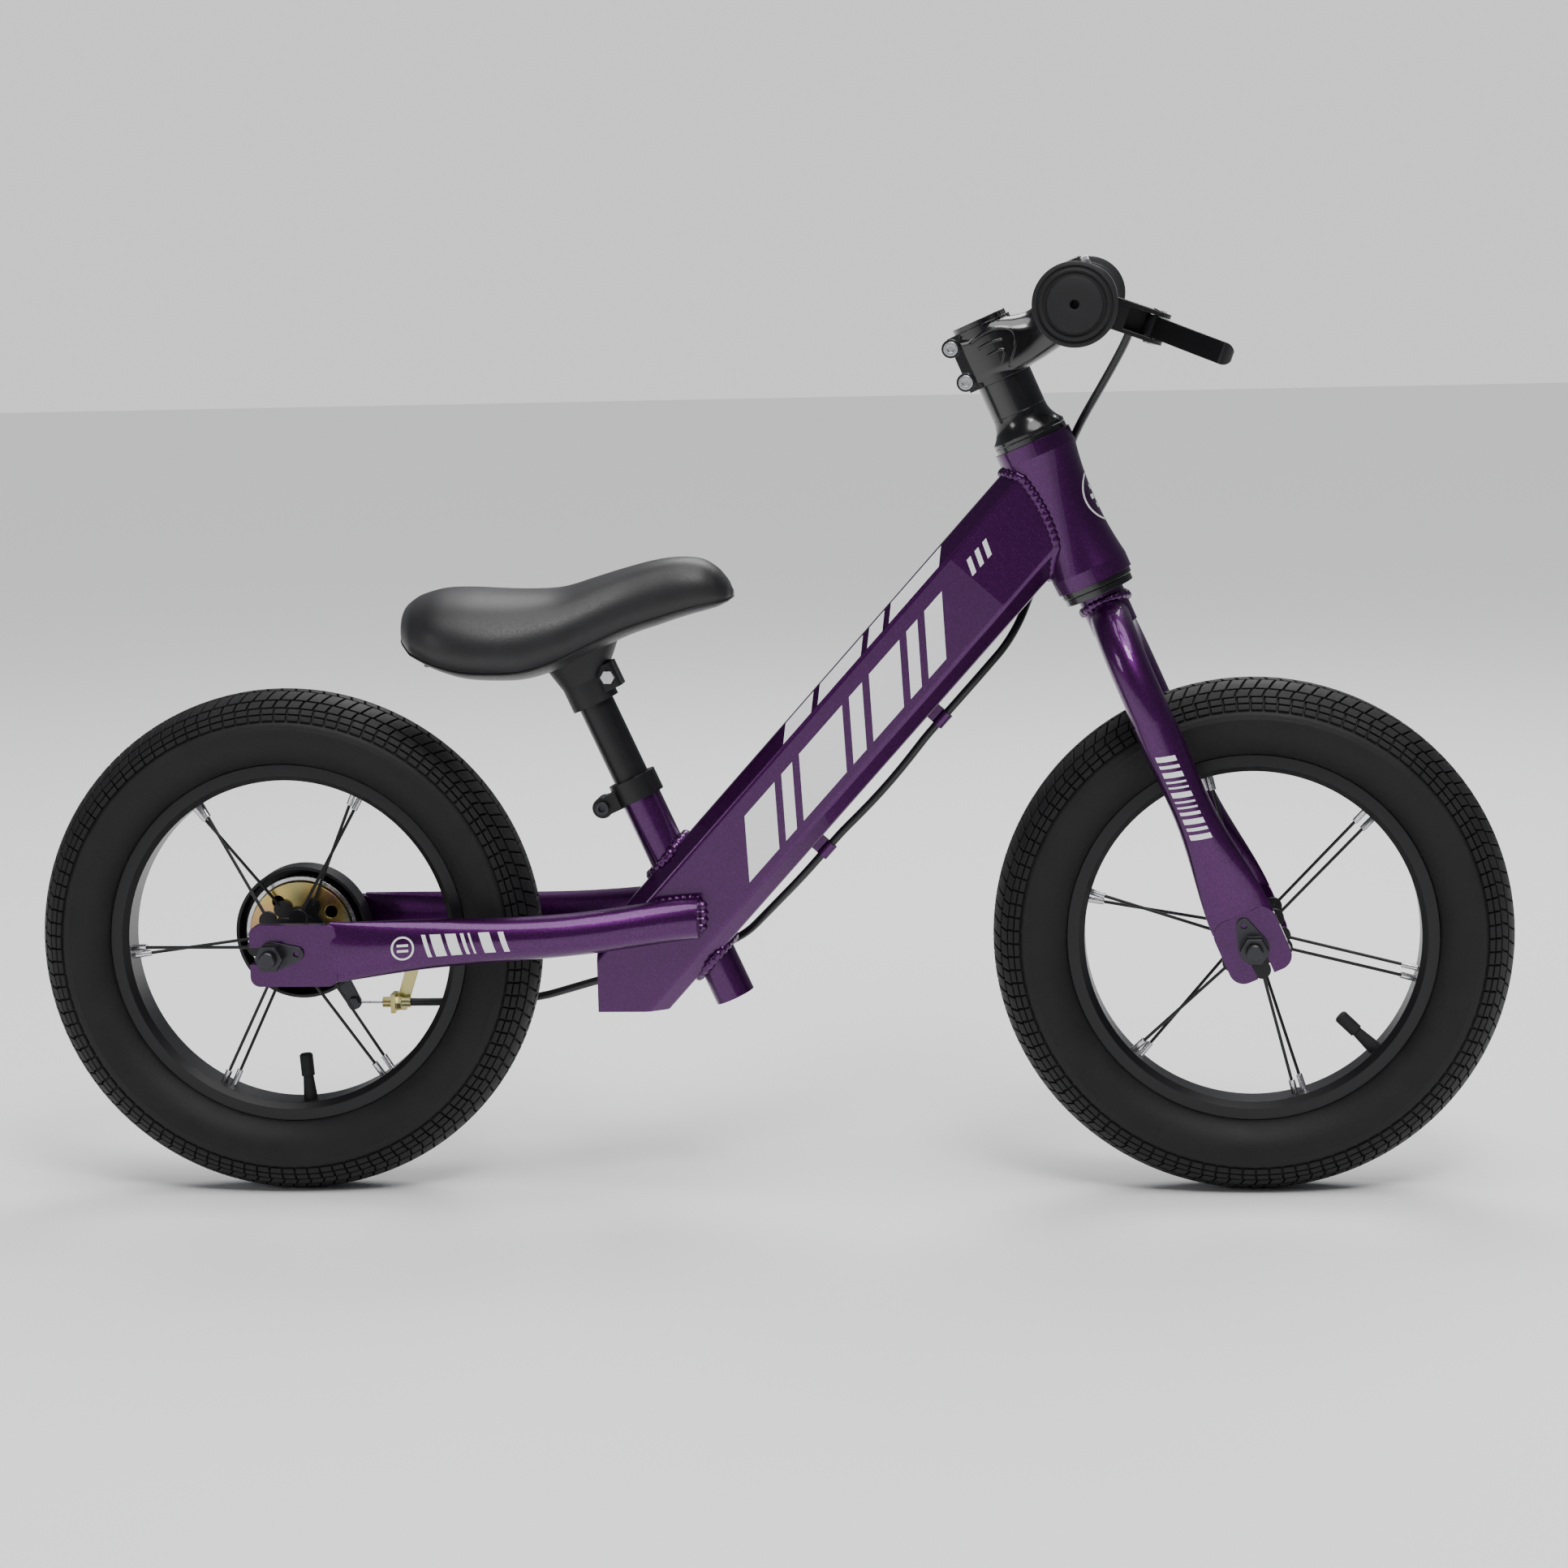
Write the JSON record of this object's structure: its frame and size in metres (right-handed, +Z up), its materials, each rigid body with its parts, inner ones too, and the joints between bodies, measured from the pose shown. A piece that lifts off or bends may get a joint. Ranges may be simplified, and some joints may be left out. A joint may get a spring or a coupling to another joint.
{
  "type": "balance bike",
  "caption": "Small child's balance bike: thick sloping main tube, unicrown fork, air tyres on spoked wheels, height-adjustable saddle and a hand-lever band brake at the rear",
  "frame": {"origin": "on the ground, half-way between the two axles, in the bike's middle plane", "axes": "+X forward, +Y to the rider's left, +Z up"},
  "size_m": [0.912, 0.414, 0.5711],
  "materials": {
    "purple_paint": "metallic purple lacquer over steel tube",
    "black_metal": "black anodised or powder-coated alloy",
    "plain_steel": "bright zinc-plated steel",
    "gold_zinc": "yellow-passivated zinc on steel",
    "black_rubber": "soft matt black rubber",
    "black_tyre": "matt black tyre rubber with a block tread",
    "cable_cover": "black cable housing",
    "saddle_plastic": "black moulded nylon",
    "saddle_skin": "satin black moulded skin over foam"
  },
  "bodies": {
    "frame": {"main_tube": "purple_paint", "head_tube": "purple_paint", "seat_tube": "purple_paint", "chain_stay_right": "purple_paint", "chain_stay_left": "purple_paint", "cable_guides": "purple_paint", "seat_collar": "black_metal", "seat_collar_bolt": "plain_steel", "headset_cups": "black_metal", "headset_bearings": "plain_steel", "rear_axle": "plain_steel", "rear_axle_hardware": "plain_steel", "brake_cover": "black_metal", "brake_band": "plain_steel", "cable_stop": "gold_zinc", "brake_spring": "plain_steel", "brake_cable": "cable_cover", "brake_wire": "plain_steel"},
    "steering": {"steerer_tube": "plain_steel", "fork_leg_right": "purple_paint", "fork_leg_left": "purple_paint", "crown_race": "black_metal", "headset_cone": "black_metal", "spacers": "black_metal", "stem": "black_metal", "stem_faceplate": "black_metal", "stem_bolts": "plain_steel", "steerer_cap": "black_metal", "handlebar": "black_metal", "grip_right": "black_rubber", "grip_left": "black_rubber", "lever_bracket": "black_metal", "lever_pin": "plain_steel", "cable_adjuster": "black_metal", "front_axle": "plain_steel", "front_axle_hardware": "plain_steel", "cable_loop": "cable_cover"},
    "front_wheel": {"front_tyre": "black_tyre", "front_inner_tube": "black_rubber", "front_rim": "black_metal", "front_spokes": "black_metal", "front_nipples": "plain_steel", "front_valve": "black_rubber", "front_hub": "black_metal", "front_hub_bearings": "plain_steel"},
    "rear_wheel": {"rear_tyre": "black_tyre", "rear_inner_tube": "black_rubber", "rear_rim": "black_metal", "rear_spokes": "black_metal", "rear_nipples": "plain_steel", "rear_valve": "black_rubber", "rear_hub": "black_metal", "rear_hub_bearings": "plain_steel", "brake_drum": "gold_zinc"},
    "seat": {"seat_post": "black_metal", "saddle_base": "saddle_plastic", "saddle_pad": "saddle_skin", "saddle_clamp_bolt": "plain_steel"},
    "brake_lever": {"brake_lever": "black_metal"},
    "brake_arm": {"brake_arm": "black_metal"}
  },
  "joints": [
    {"name": "steering", "type": "hinge", "parent": "frame", "child": "steering", "pos_m": [0.298, 0, 0.158], "axis": [-0.3939, 0, 0.9191], "range_deg": [-60, 60], "deforming": ["cable_loop"]},
    {"name": "front_wheel_spin", "type": "hinge", "parent": "steering", "child": "front_wheel", "pos_m": [0.298, 0, 0.158], "axis": [0, 1, 0], "continuous": true},
    {"name": "rear_wheel_spin", "type": "hinge", "parent": "frame", "child": "rear_wheel", "pos_m": [-0.298, 0, 0.158], "axis": [0, 1, 0], "continuous": true},
    {"name": "brake_lever_pull", "type": "hinge", "parent": "steering", "child": "brake_lever", "pos_m": [0.24264, -0.092, 0.52966], "axis": [-0.342, 0, -0.9397], "range_deg": [0, 30], "stiffness_Nm_per_rad": 0.15, "springref_deg": -17.19},
    {"name": "brake_arm_pull", "type": "hinge", "parent": "frame", "child": "brake_arm", "pos_m": [-0.284, 0.046, 0.134], "axis": [0, -1, 0], "range_deg": [0, 13.5], "deforming": ["brake_wire", "brake_spring"]},
    {"name": "seat_height", "type": "slide", "parent": "frame", "child": "seat", "axis": [-0.4067, 0, 0.9135], "range_m": [-0.04, 0.06]}
  ],
  "couplings": [
    {"joint": "brake_arm_pull", "follows": "brake_lever_pull", "ratio": 0.45}
  ]
}
